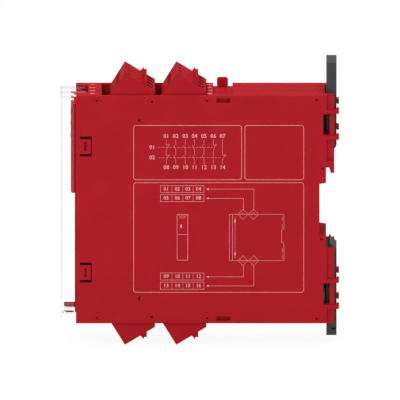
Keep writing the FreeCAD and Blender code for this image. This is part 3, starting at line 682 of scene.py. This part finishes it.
endNumbers = {
    "height": 2.1,
    "rows": (-99.4, -49.6),     # in Y, in front of the plugs and behind them
    "poles": 4,
    "pitch": 5.08,
}


def endPrint():
    # the poles' numbers beside the plugs, on the top and on the bottom
    low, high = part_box("side_cover")
    parts, number = [], 0
    for sign, level in ((1, high[2] / mm), (-1, low[2] / mm)):
        for y in endNumbers["rows"]:
            for pole in range(endNumbers["poles"]):
                number += 1
                x = (pole - (endNumbers["poles"] - 1) / 2) * endNumbers["pitch"]
                flat, kept = digitsAt(str(number), (x, sign * y), endNumbers["height"])
                parts.append((onEnd(flat, level, sign), kept))
    return parts


points, faces = joinParts(endPrint())
topPrint = makePiece("terminal_numbers", points, faces, ink)
print("terminal numbers:", len(faces), "faces")


studio = {
    "floorSize": 3.0,
    "floorCells": 12,
    "floorDrop": 0.0002,
    "floor": (0.90, 0.90, 0.90),
    "floorSeen": (0.08, 0.08, 0.08),    # the floor as the camera sees it, for a faint shadow
    "floorGlow": 0.934,         # what the camera sees above the floor's own light
    "floorRoughness": 0.9,
    "world": 0.42,
    "worldGloss": 0.1,          # how far a glossy face sees the white backdrop
    "aim": (0.0, -0.05, 0.0),   # what the lamps point at
    "key": ((0.6, -0.5, 0.9), (0.7, 0.7), 5.5),     # place, size and watts of each lamp
    "fill": ((0.9, 0.3, 0.2), (0.8, 0.6), 1.6),
    "top": ((-0.1, 0.0, 1.0), (0.9, 0.9), 6.5),
}


def backdropRay(tree, glossShare):
    # 1 where the camera sees the backdrop, also through the clear cover, and a share in a glossy face
    seen = tree.nodes.new("ShaderNodeLightPath")
    total = seen.outputs["Is Camera Ray"]
    for ray, share in (("Is Transmission Ray", 1.0), ("Is Glossy Ray", glossShare)):
        part = tree.nodes.new("ShaderNodeMath")
        part.operation = "MULTIPLY_ADD"
        part.use_clamp = True
        tree.links.new(seen.outputs[ray], part.inputs[0])
        part.inputs[1].default_value = share
        tree.links.new(total, part.inputs[2])
        total = part.outputs[0]
    return total


def makeFloor():
    # a level grid just under the part's lowest point
    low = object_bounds()[0][2] - studio["floorDrop"]
    half, cells = studio["floorSize"] / 2, studio["floorCells"]
    grid = np.linspace(-half, half, cells + 1)
    y, x = np.meshgrid(grid, grid)
    points = np.column_stack([x.ravel(), y.ravel(), np.full(x.size, low)])
    i, j = np.meshgrid(np.arange(cells), np.arange(cells), indexing="ij")
    corner = (i * (cells + 1) + j).ravel()
    faces = np.column_stack([corner, corner + cells + 1, corner + cells + 2, corner + 1])
    mesh = bpy.data.meshes.new("studio_floor")
    mesh.from_pydata(points.tolist(), [], faces.tolist())
    mesh.update()
    floor = bpy.data.objects.new("studio_floor", mesh)
    bpy.context.scene.collection.objects.link(floor)
    material, tree, shader = finish("pale_floor", studio["floorRoughness"], specular=0.0)[:3]
    seen = backdropRay(tree, 1.0)
    colour = ramp(tree, seen, studio["floor"], studio["floorSeen"], (0.0, 1.0))
    tree.links.new(colour, shader.inputs["Base Color"])
    shader.inputs["Emission Color"].default_value = (1.0, 1.0, 1.0, 1.0)
    tree.links.new(spread(tree, seen, 0.0, studio["floorGlow"]), shader.inputs["Emission Strength"])
    mesh.materials.append(material)


def areaLight(name, place, size, power):
    # a rectangular lamp turned towards the part
    light = bpy.data.lights.new(name, "AREA")
    light.shape = "RECTANGLE"
    light.size, light.size_y = size
    light.energy = power
    holder = bpy.data.objects.new(name, light)
    bpy.context.scene.collection.objects.link(holder)
    aim = np.array(studio["aim"]) - np.array(place)
    holder.location = place
    holder.rotation_mode = "QUATERNION"
    holder.rotation_quaternion = Vector(aim).to_track_quat("-Z", "Y")


def makeWorld():
    # white where the camera sees it, and a softer light for everything else
    world = bpy.data.worlds.new("studio")
    bpy.context.scene.world = world
    world.use_nodes = True
    tree = world.node_tree
    sky = tree.nodes["Background"]
    sky.inputs["Color"].default_value = (1.0, 1.0, 1.0, 1.0)
    seen = backdropRay(tree, studio["worldGloss"])
    tree.links.new(spread(tree, seen, studio["world"], 1.0), sky.inputs["Strength"])


photoCamera = {
    "elevation": 14.38,         # degrees above level, square onto the labelled side
    "width": 0.1700,            # of the picture, in metres
    "right": -0.05358,          # the picture's middle, along Y
    "up": 0.0004,               # and up the picture
    "away": 1.0,
    "reach": 10.0,
}


def makeCamera():
    # parallel lines: the camera stands away along its line of sight, and moves up square to it
    data = bpy.data.cameras.new("photo_camera")
    data.type = "ORTHO"
    data.ortho_scale = photoCamera["width"]
    data.clip_end = photoCamera["reach"]
    camera = bpy.data.objects.new("photo_camera", data)
    bpy.context.scene.collection.objects.link(camera)
    e = math.radians(photoCamera["elevation"])
    sight = np.array([math.cos(e), 0.0, math.sin(e)])
    upward = np.array([-math.sin(e), 0.0, math.cos(e)])
    middle = np.array([0.0, photoCamera["right"], 0.0])
    camera.location = sight * photoCamera["away"] + upward * photoCamera["up"] + middle
    camera.rotation_euler = (math.pi / 2 - e, 0.0, math.pi / 2)
    bpy.context.scene.camera = camera


makeFloor()
makeWorld()
for lamp in ("key", "fill", "top"):
    areaLight(lamp, *studio[lamp])
makeCamera()
bpy.context.scene.view_settings.view_transform = "Standard"
print("studio ready")
